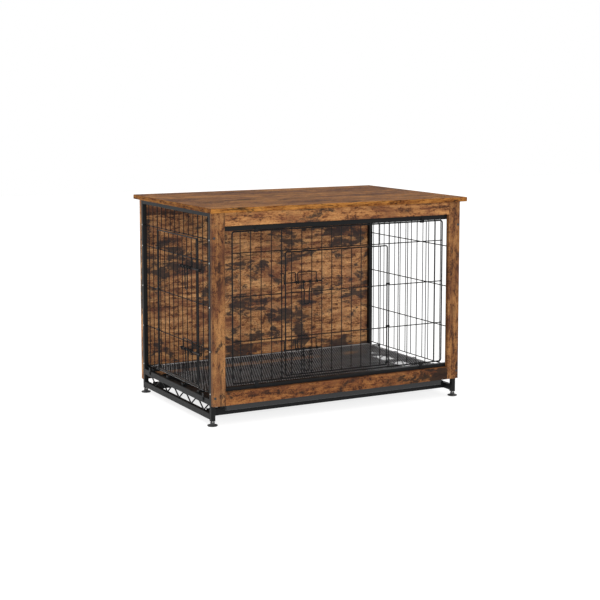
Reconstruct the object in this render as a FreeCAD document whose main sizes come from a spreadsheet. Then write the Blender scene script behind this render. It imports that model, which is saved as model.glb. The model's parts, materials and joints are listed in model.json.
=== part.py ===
import FreeCAD, Part
import math
import os

import Sketcher

from FreeCAD import Placement, Rotation, Vector

# Furniture dog crate: a wooden top, back and front frame over a welded tube frame with wire panels.
# Frame: origin on the floor under the middle of the crate, +X to its right, +Y to its back, +Z up.
# All sizes are millimetres. "Along" is the run of a wire panel: X on the front, Y on the two sides.

SIZES = {
    # wooden boards
    "board_wide": 980, "board_deep": 660, "board_thick": 15, "crate_tall": 710,
    "frame_wide": 952, "frame_deep": 614, "stile_wide": 45, "top_rail_tall": 45.3, "low_rail_tall": 43.3,
    "frame_bottom": 66.7, "back_bottom": 46, "board_edge": 0.6,
    # welded tube frame
    "tube": 15, "tube_wall": 1.2, "tube_corner": 1.5, "post_bottom": 16, "rail_deep": 20,
    "lower_rail_z": 20, "base_rail_z": 67, "top_beam_z": 632, "front_base_z": 102, "rear_base_z": 76,
    "cross_tall": 25, "cross_inset": 47,
    "truss_r": 2.4, "truss_period": 101.6, "truss_shift": 14, "truss_top_flat": 30, "truss_low_flat": 8,
    "truss_bend": 5, "truss_end_gap": 1,
    # floor and tray
    "bearer_tall": 9, "bearer_pitch": 130, "bearer_shift": 25, "mesh_wide": 910, "mesh_deep": 548, "mesh_thick": 2,
    "tray_wide": 844, "tray_deep": 550, "tray_tall": 19, "tray_wall": 1.6, "tray_corner": 10, "tray_edge": 3,
    "tray_front": -288, "gap": 0.3,
    # straps that hold the mesh and the front wire panel
    "strap_thick": 1.5, "mesh_strap_half": 6, "mesh_strap_reach": 26, "mesh_strap_foot": 6, "mesh_strap_screw": 13,
    "mesh_strap_y": 228, "panel_strap_half": 7, "panel_strap_lap": 9.5, "panel_strap_screw": 5.4,
    "panel_strap_steps": 8.5, "strap_gap": 0.1, "strap_rise": 0.6,
    # wires
    "upright_r": 1.5, "cross_r": 1.75, "jamb_r": 2, "rim_r": 2.5, "door_rim_r": 2.25, "weld_sink": 0.15,
    "upright_tail": 1, "ferrule_long": 2.5, "ferrule_wall": 1.6,
    # front wire panel and its doorway
    "front_plane": -291, "front_shift": 7.5, "front_half": 405.5, "front_pitch": 37.68,
    "front_low": 132, "front_cross_a": 269, "front_cross_b": 416, "front_head": 559, "front_top": 629,
    "front_corner": 8,
    # side wire panels and the left doorway
    "side_plane": 468.5, "side_shift": 9, "side_pitch": 38.1, "side_low": 105, "side_cross_a": 244,
    "side_cross_b": 388, "side_cross_c": 531, "side_head": 605, "side_top": 680,
    # doors
    "hinge_reach": 7.5, "front_door_low": 140.5, "side_door_low": 112.5, "door_gap": 6.5, "door_corner": 6,
    "edge_gap_front": 14.1, "edge_gap_side": 5.5,
    "door_first_front": 22.7, "door_pitch_front": 38.1, "door_first_side": 9.5, "door_pitch_side": 38,
    "clip_tall": 6, "clip_wall": 1.6, "clip_lift": 0.4, "running": 0.08,
    # latches, measured along the panel from a start near the door's free edge, and outwards from the wire plane
    "latch_start_front": 18.1, "latch_start_side": 7.5,
    "bolt_r": 2.25, "bolt_out": 8, "guide_r": 1.75, "guide_rise": 32, "guide_bend": 4, "guide_start": 4.5,
    "guide_inner": 32, "guide_near": 40, "guide_far": 110, "keeper_front": -11, "keeper_side": -39,
    "keeper_long": 15.1, "bolt_rest": 2.2, "bolt_tail": 128, "collar_r": 4.2, "collar_long": 2.5,
    "collar_gap": 0.5,
    "handle_mid": 71.5, "handle_half": 12.5, "handle_neck": 20, "handle_taper": 7, "handle_waist": 9.5,
    "handle_drop": 75, "handle_r": 2, "handle_bend": 8,
    "latch_front_low": 227, "latch_front_high": 451, "latch_side_low": 222, "latch_side_high": 500,
    # feet and fasteners
    "pad_r": 17, "pad_tall": 5, "pad_edge": 1.5, "pad_slope": 4, "neck_r": 7.5, "neck_top": 13, "stem_r": 4,
    "stem_top": 33, "plug_tall": 18, "plug_gap": 0.1,
    "screw_r": 2.2, "screw_long": 24, "screw_in_top": 11, "head_r": 4.2, "small_head_r": 3.6, "head_tall": 1.8,
    "stile_screw_low": 94.5, "stile_screw_high": 613, "back_screw_low": 110, "back_screw_mid": 370,
    "back_screw_high": 640, "top_screw_pitch": 190,
}

document = FreeCAD.newDocument("crate")
sheet = document.addObject("Spreadsheet::Sheet", "sizes")
for row, (alias, value) in enumerate(SIZES.items(), start=1):
    sheet.set(f"A{row}", alias)
    sheet.set(f"B{row}", str(value))
    sheet.setAlias(f"B{row}", alias)
document.recompute()

TURN = {
    "x": Rotation(Vector(0, 1, 0), 90),
    "y": Rotation(Vector(1, 0, 0), -90),
    "z": Rotation(),
}
nodes = {}


def size(name):
    """The value of one sheet cell, for the shapes that are set in code."""
    return float(sheet.get(name))


def keep(piece, name):
    """Gives a finished sub-part its name and puts it on the list of files to write."""
    piece.Label = name
    nodes[name] = piece
    return piece


def place(piece, at, axis="z"):
    """Turns a piece's own Z to the axis and ties its position to three expressions."""
    piece.Placement = Placement(Vector(), TURN[axis])
    for letter, expression in zip("xyz", at):
        piece.setExpression(f"Placement.Base.{letter}", str(expression))
    return piece


def bind(piece, **expressions):
    for name, expression in expressions.items():
        piece.setExpression(name, str(expression))
    return piece


# ---------------------------------------------------------------- sketches and bodies

def flat_sketch(body, role="XY_Plane"):
    sketch = body.newObject("Sketcher::SketchObject", "Sketch")
    plane = next(item for item in body.Origin.OriginFeatures if item.Role == role)
    sketch.AttachmentSupport = [(plane, "")]
    sketch.MapMode = "FlatFace"
    return sketch


def add_rectangle(sketch, wide, deep, tag):
    """A rectangle centred on the sketch's origin, with both sides tied to expressions."""
    first = sketch.GeometryCount
    corners = [Vector(-5, -5, 0), Vector(5, -5, 0), Vector(5, 5, 0), Vector(-5, 5, 0)]
    for here, there in zip(corners, corners[1:] + corners[:1]):
        sketch.addGeometry(Part.LineSegment(here, there), False)
    for side in range(4):
        sketch.addConstraint(Sketcher.Constraint("Coincident", first + side, 2, first + (side + 1) % 4, 1))
    for side in (0, 2):
        sketch.addConstraint(Sketcher.Constraint("Horizontal", first + side))
        sketch.addConstraint(Sketcher.Constraint("Vertical", first + side + 1))
    sketch.addConstraint(Sketcher.Constraint("Symmetric", first, 1, first + 2, 1, -1, 1))
    for kind, line, name, expression in (("DistanceX", first, "wide", wide), ("DistanceY", first + 1, "deep", deep)):
        index = sketch.addConstraint(Sketcher.Constraint(kind, line, 1, line, 2, 10.0))
        sketch.renameConstraint(index, f"{tag}_{name}")
        sketch.setExpression(f"Constraints.{tag}_{name}", str(expression))


def pad(body, sketch, length):
    feature = body.newObject("PartDesign::Pad", "Pad")
    feature.Profile = sketch
    feature.setExpression("Length", str(length))
    document.recompute()
    return feature


def board(name, wide, deep, tall, at):
    """A board with its edges just broken; at is the middle of its underside."""
    body = document.addObject("PartDesign::Body", "Board")
    sketch = flat_sketch(body)
    add_rectangle(sketch, wide, deep, "board")
    blank = pad(body, sketch, tall)
    chamfer = body.newObject("PartDesign::Chamfer", "Chamfer")
    chamfer.Base = (blank, [f"Edge{number}" for number in range(1, 13)])
    chamfer.setExpression("Size", "sizes.board_edge")
    return keep(place(body, at), name)


def tube(name, across, deep, length, at, axis):
    """A rectangular tube along one axis; at is the middle of its first end."""
    body = document.addObject("PartDesign::Body", "Tube")
    sketch = flat_sketch(body)
    add_rectangle(sketch, across, deep, "outer")
    add_rectangle(sketch, f"{across} - 2 * sizes.tube_wall", f"{deep} - 2 * sizes.tube_wall", "inner")
    blank = pad(body, sketch, length)
    outer = [
        f"Edge{number}"
        for number, edge in enumerate(blank.Shape.Edges, start=1)
        if is_outer_corner(edge, blank.Shape.BoundBox)
    ]
    fillet = body.newObject("PartDesign::Fillet", "Fillet")
    fillet.Base = (blank, outer)
    fillet.setExpression("Radius", "sizes.tube_corner")
    return keep(place(body, at, axis), name)


def is_outer_corner(edge, box):
    """True for the four long edges that stand on the corners of the section."""
    middle = edge.BoundBox.Center
    long_edge = edge.BoundBox.ZLength > box.ZLength / 2
    return long_edge and abs(abs(middle.x) - box.XMax) < 0.01 and abs(abs(middle.y) - box.YMax) < 0.01


# ---------------------------------------------------------------- round pieces

def rod(radius, length, at, axis):
    piece = document.addObject("Part::Cylinder", "Rod")
    bind(piece, Radius=radius, Height=length)
    return place(piece, at, axis)


def group(name, pieces):
    """One node that is a set of separate solids."""
    compound = document.addObject("Part::Compound", "Group")
    compound.Links = pieces
    return keep(compound, name)


def drill(name, holes):
    """Cuts the holes through a finished sub-part, which keeps its name."""
    blank = nodes[name]
    blank.Label = f"{name}_undrilled"
    tools = document.addObject("Part::Compound", "Drills")
    tools.Links = holes
    cut = document.addObject("Part::Cut", "Drilled")
    cut.Base = blank
    cut.Tool = tools
    return keep(cut, name)


def solid(name, shape):
    """A sub-part whose shape is bent or fused in code from the sheet's sizes."""
    piece = document.addObject("Part::Feature", "Solid")
    piece.Shape = shape
    piece.Placement = Placement()
    return keep(piece, name)


def straight(start, end, radius):
    return Part.makeCylinder(radius, (end - start).Length, start, end - start)


def eye(centre, axis, bore, radius):
    """A wire eye: a ring whose hole has the bore's radius."""
    return Part.makeTorus(bore + radius, radius, centre, axis)


def bent_wire(points, radius, bend):
    """A round wire along straight runs joined by tangent arcs of one bend radius."""
    edges = []
    start = points[0]
    for before, corner, after in zip(points, points[1:], points[2:]):
        back = Vector(before - corner).normalize()
        ahead = Vector(after - corner).normalize()
        half = back.getAngle(ahead) / 2
        reach = bend / math.tan(half)
        bisector = Vector(back + ahead).normalize()
        centre = corner + bisector * (bend / math.sin(half))
        entry = corner + back * reach
        leave = corner + ahead * reach
        edges.append(Part.LineSegment(start, entry).toShape())
        edges.append(Part.Arc(entry, centre - bisector * bend, leave).toShape())
        start = leave
    edges.append(Part.LineSegment(start, points[-1]).toShape())
    profile = Part.Wire([Part.makeCircle(radius, points[0], points[1] - points[0])])
    return Part.Wire(edges).makePipeShell([profile], True, True)


# ---------------------------------------------------------------- wooden boards

def build_boards():
    frame_face = "(sizes.frame_deep - sizes.board_thick) / 2"
    board_under = "sizes.crate_tall - sizes.board_thick"
    stile_x = "(sizes.frame_wide - sizes.stile_wide) / 2"
    stile_tall = f"{board_under} - sizes.frame_bottom"
    opening = "sizes.frame_wide - 2 * sizes.stile_wide"
    board("top_board", "sizes.board_wide", "sizes.board_deep", "sizes.board_thick", (0, 0, board_under))
    board("back_panel", "sizes.frame_wide", "sizes.board_thick", f"{board_under} - sizes.back_bottom",
          (0, frame_face, "sizes.back_bottom"))
    for side, sign in (("left", "-"), ("right", "")):
        board(f"{side}_stile", "sizes.stile_wide", "sizes.board_thick", stile_tall,
              (f"{sign}({stile_x})", f"-({frame_face})", "sizes.frame_bottom"))
    board("front_top_rail", opening, "sizes.board_thick", "sizes.top_rail_tall",
          (0, f"-({frame_face})", f"{board_under} - sizes.top_rail_tall"))
    board("front_bottom_rail", opening, "sizes.board_thick", "sizes.low_rail_tall",
          (0, f"-({frame_face})", "sizes.frame_bottom"))


# ---------------------------------------------------------------- tube frame

POST_X = "(sizes.frame_wide - sizes.tube) / 2"
POST_Y = "(sizes.frame_deep / 2 - sizes.board_thick - sizes.tube / 2)"
BETWEEN_X = "sizes.frame_wide - 2 * sizes.tube"
BETWEEN_Y = "(sizes.frame_deep - 2 * sizes.board_thick - 2 * sizes.tube)"
SIDES = (("left", "-"), ("right", ""))
ENDS = (("front", "-"), ("rear", ""))


def build_frame():
    top = "sizes.crate_tall - sizes.board_thick"
    for side, sign_x in SIDES:
        for end, sign_y in ENDS:
            tube(f"{end}_{side}_post", "sizes.tube", "sizes.tube", f"{top} - sizes.post_bottom",
                 (f"{sign_x}{POST_X}", f"{sign_y}{POST_Y}", "sizes.post_bottom"), "z")
        for level, tall, name in (
            (f"{top} - sizes.tube", "sizes.tube", "top_rail"),
            ("sizes.base_rail_z", "sizes.rail_deep", "base_rail"),
            ("sizes.lower_rail_z", "sizes.rail_deep", "lower_rail"),
        ):
            tube(f"{side}_{name}", "sizes.tube", tall, BETWEEN_Y,
                 (f"{sign_x}{POST_X}", f"-{BETWEEN_Y} / 2", f"{level} + {tall} / 2"), "y")
    for name, sign_y, level, tall in (
        ("front_top_beam", "-", "sizes.top_beam_z", "sizes.rail_deep"),
        ("front_base_beam", "-", "sizes.front_base_z", "sizes.rail_deep"),
        ("rear_top_beam", "", f"{top} - sizes.tube", "sizes.tube"),
        ("rear_base_beam", "", "sizes.rear_base_z", "sizes.rail_deep"),
    ):
        tube(name, tall, "sizes.tube", BETWEEN_X,
             (f"-({BETWEEN_X}) / 2", f"{sign_y}{POST_Y}", f"{level} + {tall} / 2"), "x")
    for end, sign_y in ENDS:
        tube(f"{end}_cross_rail", "sizes.cross_tall", "sizes.tube", BETWEEN_X,
             (f"-({BETWEEN_X}) / 2", f"{sign_y}({BETWEEN_Y} / 2 - sizes.cross_inset)",
              "sizes.lower_rail_z + sizes.cross_tall / 2"), "x")


def build_trusses():
    """A zigzag wire between each side's lower rail and base rail, flat where it meets them."""
    low = size("lower_rail_z") + size("rail_deep") + size("truss_r")
    high = size("base_rail_z") - size("truss_r")
    period = size("truss_period")
    top_flat = size("truss_top_flat") / 2
    low_flat = size("truss_low_flat") / 2
    half_span = size("frame_deep") / 2 - size("board_thick") - size("tube") - size("truss_end_gap")
    plane = size("side_plane")
    for side, sign in (("left", -1), ("right", 1)):
        points = [Vector(sign * plane, -half_span, high)]
        for step in range(-2, 3):
            low_y = step * period + sign * size("truss_shift")
            points.append(Vector(sign * plane, low_y - period / 2 + top_flat, high))
            points.append(Vector(sign * plane, low_y - low_flat, low))
            points.append(Vector(sign * plane, low_y + low_flat, low))
            points.append(Vector(sign * plane, low_y + period / 2 - top_flat, high))
        points.append(Vector(sign * plane, half_span, high))
        solid(f"{side}_truss", bent_wire(points, size("truss_r"), size("truss_bend")))


# ---------------------------------------------------------------- floor and tray

def build_floor():
    rail_top = "(sizes.base_rail_z + sizes.rail_deep)"
    bearers = []
    for step in (-1.5, -0.5, 0.5, 1.5):
        bearer = document.addObject("Part::Box", "Bearer")
        bind(bearer, Length=f"{BETWEEN_X} + sizes.tube", Width="sizes.tube", Height="sizes.bearer_tall")
        place(bearer, (f"-({BETWEEN_X} + sizes.tube) / 2",
                       f"{step} * sizes.bearer_pitch + sizes.bearer_shift - sizes.tube / 2", rail_top))
        bearers.append(bearer)
    group("mesh_bearers", bearers)
    sheet_metal = document.addObject("Part::Box", "Mesh")
    bind(sheet_metal, Length="sizes.mesh_wide", Width="sizes.mesh_deep", Height="sizes.mesh_thick")
    place(sheet_metal, ("-sizes.mesh_wide / 2", "-sizes.mesh_deep / 2", f"{rail_top} + sizes.bearer_tall"))
    keep(sheet_metal, "floor_mesh")


def build_mesh_clips():
    """Four straps that hook over the mesh and are screwed to the base rails' outer faces."""
    thick = size("strap_thick")
    half_width = size("mesh_strap_half")
    rail_bottom = size("base_rail_z")
    mesh_top = rail_bottom + size("rail_deep") + size("bearer_tall") + size("mesh_thick")
    foot = rail_bottom + size("mesh_strap_foot")
    face = size("frame_wide") / 2
    inner_end = face - size("mesh_strap_reach")
    straps = []
    for sign in (-1, 1):
        for along in (-size("mesh_strap_y"), size("mesh_strap_y")):
            start = along - half_width
            outline = [
                Vector(sign * face, start, foot),
                Vector(sign * (face + thick), start, foot),
                Vector(sign * (face + thick), start, mesh_top + thick),
                Vector(sign * inner_end, start, mesh_top + thick),
                Vector(sign * inner_end, start, mesh_top),
                Vector(sign * face, start, mesh_top),
            ]
            strap = Part.Face(Part.makePolygon(outline + outline[:1])).extrude(Vector(0, 2 * half_width, 0))
            head_base = Vector(sign * (face + thick), along, rail_bottom + size("mesh_strap_screw"))
            head = Part.makeCylinder(size("head_r"), size("head_tall"), head_base, Vector(sign, 0, 0))
            straps.append(strap.fuse(head).removeSplitter().Solids[0])
    solid("mesh_clips", Part.Compound(straps))


def build_tray():
    """A shallow tray on the cross rails, with round corners and lower edges, open at the top."""
    body = document.addObject("PartDesign::Body", "Tray")
    outline = flat_sketch(body)
    add_rectangle(outline, "sizes.tray_wide", "sizes.tray_deep", "tray")
    blank = pad(body, outline, "sizes.tray_tall")
    corners = body.newObject("PartDesign::Fillet", "Corners")
    uprights = [
        f"Edge{number}"
        for number, edge in enumerate(blank.Shape.Edges, start=1)
        if is_outer_corner(edge, blank.Shape.BoundBox)
    ]
    corners.Base = (blank, uprights)
    corners.setExpression("Radius", "sizes.tray_corner")
    document.recompute()
    underside = [
        f"Edge{number}"
        for number, edge in enumerate(corners.Shape.Edges, start=1)
        if edge.BoundBox.ZMax < size("tray_wall")
    ]
    rounded = body.newObject("PartDesign::Fillet", "LowerEdges")
    rounded.Base = (corners, underside)
    rounded.setExpression("Radius", "sizes.tray_edge")
    document.recompute()
    top_face = max(range(len(rounded.Shape.Faces)), key=lambda index: rounded.Shape.Faces[index].CenterOfMass.z)
    shell = body.newObject("PartDesign::Thickness", "Thickness")
    shell.Base = (rounded, [f"Face{top_face + 1}"])
    shell.setExpression("Value", "sizes.tray_wall")
    shell.Reversed = True
    document.recompute()
    tray_z = "sizes.lower_rail_z + sizes.cross_tall + sizes.gap"
    keep(place(body, (0, "sizes.tray_front + sizes.tray_deep / 2", tray_z)), "tray")


# ---------------------------------------------------------------- wire panels

FACES = {
    "front": {"axis": "x", "plane": "sizes.front_plane", "inward": 1},
    "left": {"axis": "y", "plane": "-sizes.side_plane", "inward": 1},
    "right": {"axis": "y", "plane": "sizes.side_plane", "inward": -1},
}


def on_face(face, along, plane, level):
    """Row order for a point given along the panel, across it and by height."""
    return (along, plane, level) if face["axis"] == "x" else (plane, along, level)


def upright(face, along, low, high, radius="sizes.upright_r"):
    return rod(radius, f"({high}) - ({low})", on_face(face, along, face["plane"], low), "z")


def crosswire(face, start, end, level, radius="sizes.cross_r"):
    """A level wire welded to the uprights' inner side."""
    plane = f"{face['plane']} + {face['inward']} * (sizes.upright_r + {radius} - sizes.weld_sink)"
    return rod(radius, f"({end}) - ({start})", on_face(face, start, plane, level), face["axis"])


def rim(face, left, right, low, high, radius, corner):
    """A closed rim of four straight runs and four quarter-turn corners."""
    turn = Rotation(Vector(1, 0, 0), 90)
    if face["axis"] == "y":
        turn = Rotation(Vector(0, 0, 1), 90) * turn
    run = f"({right}) - ({left}) - 2 * {corner}"
    rise = f"({high}) - ({low}) - 2 * {corner}"
    plane = face["plane"]
    pieces = [
        rod(radius, run, on_face(face, f"{left} + {corner}", plane, low), face["axis"]),
        rod(radius, run, on_face(face, f"{left} + {corner}", plane, high), face["axis"]),
        rod(radius, rise, on_face(face, left, plane, f"{low} + {corner}"), "z"),
        rod(radius, rise, on_face(face, right, plane, f"{low} + {corner}"), "z"),
    ]
    for quarter, along, level in (
        (0, f"{right} - {corner}", f"{high} - {corner}"),
        (1, f"{left} + {corner}", f"{high} - {corner}"),
        (2, f"{left} + {corner}", f"{low} + {corner}"),
        (3, f"{right} - {corner}", f"{low} + {corner}"),
    ):
        bend = document.addObject("Part::Torus", "Corner")
        bend.Angle3 = 90
        bind(bend, Radius1=corner, Radius2=radius)
        bend.Placement = Placement(Vector(), turn * Rotation(Vector(0, 0, 1), 90 * quarter))
        for letter, expression in zip("xyz", on_face(face, along, plane, level)):
            bend.setExpression(f"Placement.Base.{letter}", expression)
        pieces.append(bend)
    return pieces


FRONT_LEFT = "sizes.front_shift - sizes.front_half"
FRONT_RIGHT = "sizes.front_shift + sizes.front_half"
FRONT_JAMBS = (-6, 5)
SIDE_JAMB = 4.5


def front_line(step):
    return f"sizes.front_shift + {step} * sizes.front_pitch"


def side_line(side, step):
    """The side panels share one pattern, turned end for end."""
    sign = "-" if side == "left" else ""
    return f"{sign}sizes.side_shift + {step} * sizes.side_pitch"


def build_front_panel():
    face = FACES["front"]
    inside_low = "sizes.front_low + sizes.rim_r - sizes.weld_sink"
    inside_high = "sizes.front_top - sizes.rim_r + sizes.weld_sink"
    latch_jamb, hinge_jamb = FRONT_JAMBS
    wires = rim(face, FRONT_LEFT, FRONT_RIGHT, "sizes.front_low", "sizes.front_top", "sizes.rim_r",
                "sizes.front_corner")
    for step in range(-10, 11):
        over_doorway = latch_jamb < step < hinge_jamb
        low = "sizes.front_head - sizes.cross_r" if over_doorway else inside_low
        radius = "sizes.jamb_r" if step in FRONT_JAMBS else "sizes.upright_r"
        wires.append(upright(face, front_line(step), low, inside_high, radius))
    wires.append(crosswire(face, FRONT_LEFT, FRONT_RIGHT, "sizes.front_head"))
    for level in ("sizes.front_cross_a", "sizes.front_cross_b"):
        wires.append(crosswire(face, FRONT_LEFT, front_line(latch_jamb), level))
        wires.append(crosswire(face, front_line(hinge_jamb), FRONT_RIGHT, level))
    group("front_panel", wires)


def build_side_panels():
    half = f"{BETWEEN_Y} / 2"
    low = "sizes.side_low - sizes.cross_r - sizes.upright_tail"
    levels = ("sizes.side_cross_a", "sizes.side_cross_b", "sizes.side_cross_c")
    steps = [number + 0.5 for number in range(-7, 7)]
    for side in ("left", "right"):
        face = FACES[side]
        doorway = side == "left"
        wires = []
        for step in steps:
            over_doorway = doorway and abs(step) < SIDE_JAMB
            foot = "sizes.side_head - sizes.cross_r" if over_doorway else low
            radius = "sizes.jamb_r" if doorway and abs(step) == SIDE_JAMB else "sizes.upright_r"
            wires.append(upright(face, side_line(side, step), foot, "sizes.side_top", radius))
        wires.append(crosswire(face, f"-{half}", half, "sizes.side_low"))
        if doorway:
            wires.append(crosswire(face, f"-{half}", half, "sizes.side_head"))
        for level in levels:
            if doorway:
                wires.append(crosswire(face, f"-{half}", side_line(side, -SIDE_JAMB), level))
                wires.append(crosswire(face, side_line(side, SIDE_JAMB), half, level))
            else:
                wires.append(crosswire(face, f"-{half}", half, level))
        group(f"{side}_panel", wires)


def build_ferrules():
    """A collar round each crosswire's end, against the post that it runs into."""
    long = size("ferrule_long")
    wall = size("ferrule_wall")
    half = size("frame_deep") / 2 - size("board_thick") - size("tube")
    inset = size("upright_r") + size("cross_r") - size("weld_sink")
    names = {
        -1: ("side_low", "side_cross_a", "side_cross_b", "side_cross_c", "side_head"),
        1: ("side_low", "side_cross_a", "side_cross_b", "side_cross_c"),
    }
    collars = []
    for sign, levels in names.items():
        for level in levels:
            for end in (-1, 1):
                centre = Vector(sign * (size("side_plane") - inset), end * half, size(level))
                inward = Vector(0, -end, 0)
                outer = Part.makeCylinder(size("cross_r") + wall, long, centre, inward)
                collars.append(outer.cut(Part.makeCylinder(size("cross_r"), long, centre, inward)))
    solid("wire_ferrules", Part.Compound(collars))


def build_panel_clips():
    """Four bent straps that hold the front panel's rim to the two front beams."""
    thick = size("strap_thick")
    half_width = size("panel_strap_half")
    face = -(size("frame_deep") / 2 - size("board_thick"))
    reach = size("rim_r") + size("strap_gap")
    outer = size("front_plane") - reach
    inner = size("front_plane") + 1
    offset = size("panel_strap_steps") * size("front_pitch")
    clips = []
    for wire_z, beam_edge, toward in (
        (size("front_top"), size("top_beam_z"), 1),
        (size("front_low"), size("front_base_z") + size("rail_deep"), -1),
    ):
        lap = beam_edge + toward * size("panel_strap_lap")
        near = wire_z + toward * (size("rim_r") + size("strap_rise"))
        past = wire_z - toward * reach
        profile = [
            (face, lap), (face, near),
            (outer, near), (outer, past), (inner, past),
            (inner, past - toward * thick), (outer - thick, past - toward * thick),
            (outer - thick, near + toward * thick), (face - thick, near + toward * thick),
            (face - thick, lap),
        ]
        for along in (-offset, offset):
            middle_x = size("front_shift") + along
            loop = [Vector(middle_x - half_width, y, z) for y, z in profile]
            strap = Part.Face(Part.makePolygon(loop + loop[:1])).extrude(Vector(2 * half_width, 0, 0))
            head_base = Vector(middle_x, face - thick, beam_edge + toward * size("panel_strap_screw"))
            head = Part.makeCylinder(size("small_head_r"), size("head_tall"), head_base, Vector(0, -1, 0))
            clips.append(strap.fuse(head).removeSplitter().Solids[0])
    solid("front_panel_clips", Part.Compound(clips))


# ---------------------------------------------------------------- doors

def build_door(side):
    """A door leaf: a rim, uprights and level wires, all in the panel's plane."""
    face = FACES[side]
    if side == "front":
        latch_edge = f"{front_line(FRONT_JAMBS[0])} + sizes.edge_gap_front"
        hinge_edge = f"{front_line(FRONT_JAMBS[1])} - sizes.hinge_reach"
        low, high = "sizes.front_door_low", "sizes.front_head - sizes.door_gap"
        levels, uprights = ("sizes.front_cross_a", "sizes.front_cross_b"), 10
    else:
        latch_edge = f"{side_line(side, -SIDE_JAMB)} + sizes.edge_gap_side"
        hinge_edge = f"{side_line(side, SIDE_JAMB)} - sizes.hinge_reach"
        low, high = "sizes.side_door_low", "sizes.side_head - sizes.door_gap"
        levels, uprights = ("sizes.side_cross_a", "sizes.side_cross_b", "sizes.side_cross_c"), 9
    wires = rim(face, latch_edge, hinge_edge, low, high, "sizes.door_rim_r", "sizes.door_corner")
    kind = "front" if side == "front" else "side"
    for number in range(uprights):
        along = f"{latch_edge} + sizes.door_first_{kind} + {number} * sizes.door_pitch_{kind}"
        wires.append(upright(face, along, f"{low} + sizes.door_rim_r - sizes.weld_sink",
                             f"{high} - sizes.door_rim_r + sizes.weld_sink"))
    for level in levels:
        wires.append(crosswire(face, latch_edge, hinge_edge, level))
    group(f"{side}_door", wires)


def build_hinge_clips(side):
    """Flat clips that grip the door's rim and turn on the jamb wire."""
    face = FACES[side]
    if side == "front":
        jamb = front_line(FRONT_JAMBS[1])
        levels = ("sizes.front_door_low + sizes.door_corner", "sizes.front_cross_a + sizes.cross_r",
                  "sizes.front_cross_b + sizes.cross_r")
    else:
        jamb = side_line(side, SIDE_JAMB)
        levels = ("sizes.side_door_low + sizes.door_corner", "sizes.side_cross_a + sizes.cross_r",
                  "sizes.side_cross_b + sizes.cross_r", "sizes.side_cross_c + sizes.cross_r")
    reach = size("hinge_reach")
    outer = size("door_rim_r") + size("clip_wall")
    clips = []
    for level in levels:
        body = document.addObject("PartDesign::Body", "Clip")
        sketch = flat_sketch(body)
        sketch.addGeometry([
            Part.ArcOfCircle(Part.Circle(Vector(), Vector(0, 0, 1), outer), -math.pi / 2, math.pi / 2),
            Part.ArcOfCircle(Part.Circle(Vector(-reach, 0, 0), Vector(0, 0, 1), outer), math.pi / 2, 3 * math.pi / 2),
            Part.LineSegment(Vector(0, outer, 0), Vector(-reach, outer, 0)),
            Part.LineSegment(Vector(0, -outer, 0), Vector(-reach, -outer, 0)),
            Part.Circle(Vector(), Vector(0, 0, 1), size("jamb_r") + size("running")),
            Part.Circle(Vector(-reach, 0, 0), Vector(0, 0, 1), size("door_rim_r")),
        ], False)
        for arc, arc_end, line, line_end in ((0, 2, 2, 1), (1, 1, 2, 2), (0, 1, 3, 1), (1, 2, 3, 2)):
            sketch.addConstraint(Sketcher.Constraint("Tangent", arc, arc_end, line, line_end))
        sketch.addConstraint(Sketcher.Constraint("Equal", 0, 1))
        sketch.addConstraint(Sketcher.Constraint("Coincident", 0, 3, -1, 1))
        sketch.addConstraint(Sketcher.Constraint("Coincident", 4, 3, -1, 1))
        sketch.addConstraint(Sketcher.Constraint("Coincident", 5, 3, 1, 3))
        sketch.addConstraint(Sketcher.Constraint("PointOnObject", 1, 3, -1))
        for kind, geometry, name, expression in (
            ("Radius", 0, "outer", "sizes.door_rim_r + sizes.clip_wall"),
            ("Radius", 4, "jamb_bore", "sizes.jamb_r + sizes.running"),
            ("Radius", 5, "rim_bore", "sizes.door_rim_r"),
        ):
            index = sketch.addConstraint(Sketcher.Constraint(kind, geometry, 1.0 + geometry))
            sketch.renameConstraint(index, name)
            sketch.setExpression(f"Constraints.{name}", expression)
        index = sketch.addConstraint(Sketcher.Constraint("DistanceX", 1, 3, -1, 1, reach))
        sketch.renameConstraint(index, "reach")
        sketch.setExpression("Constraints.reach", "sizes.hinge_reach")
        pad(body, sketch, "sizes.clip_tall")
        turn = Rotation() if side == "front" else Rotation(Vector(0, 0, 1), 90)
        body.Placement = Placement(Vector(), turn)
        for letter, expression in zip("xyz", on_face(face, jamb, face["plane"], f"{level} + sizes.clip_lift")):
            body.setExpression(f"Placement.Base.{letter}", expression)
        clips.append(body)
    group(f"{side}_door_hinges", clips)


# ---------------------------------------------------------------- latches

def latch_frame(side):
    """Returns a function from (along, out, height) to a point; along starts near the door's free edge."""
    if side == "front":
        start = size("front_shift") + FRONT_JAMBS[0] * size("front_pitch") + size("latch_start_front")
        return lambda along, out, height: Vector(start + along, size("front_plane") - out, height)
    start = -size("side_shift") - SIDE_JAMB * size("side_pitch") + size("latch_start_side")
    return lambda along, out, height: Vector(-size("side_plane") - out, start + along, height)


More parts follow.
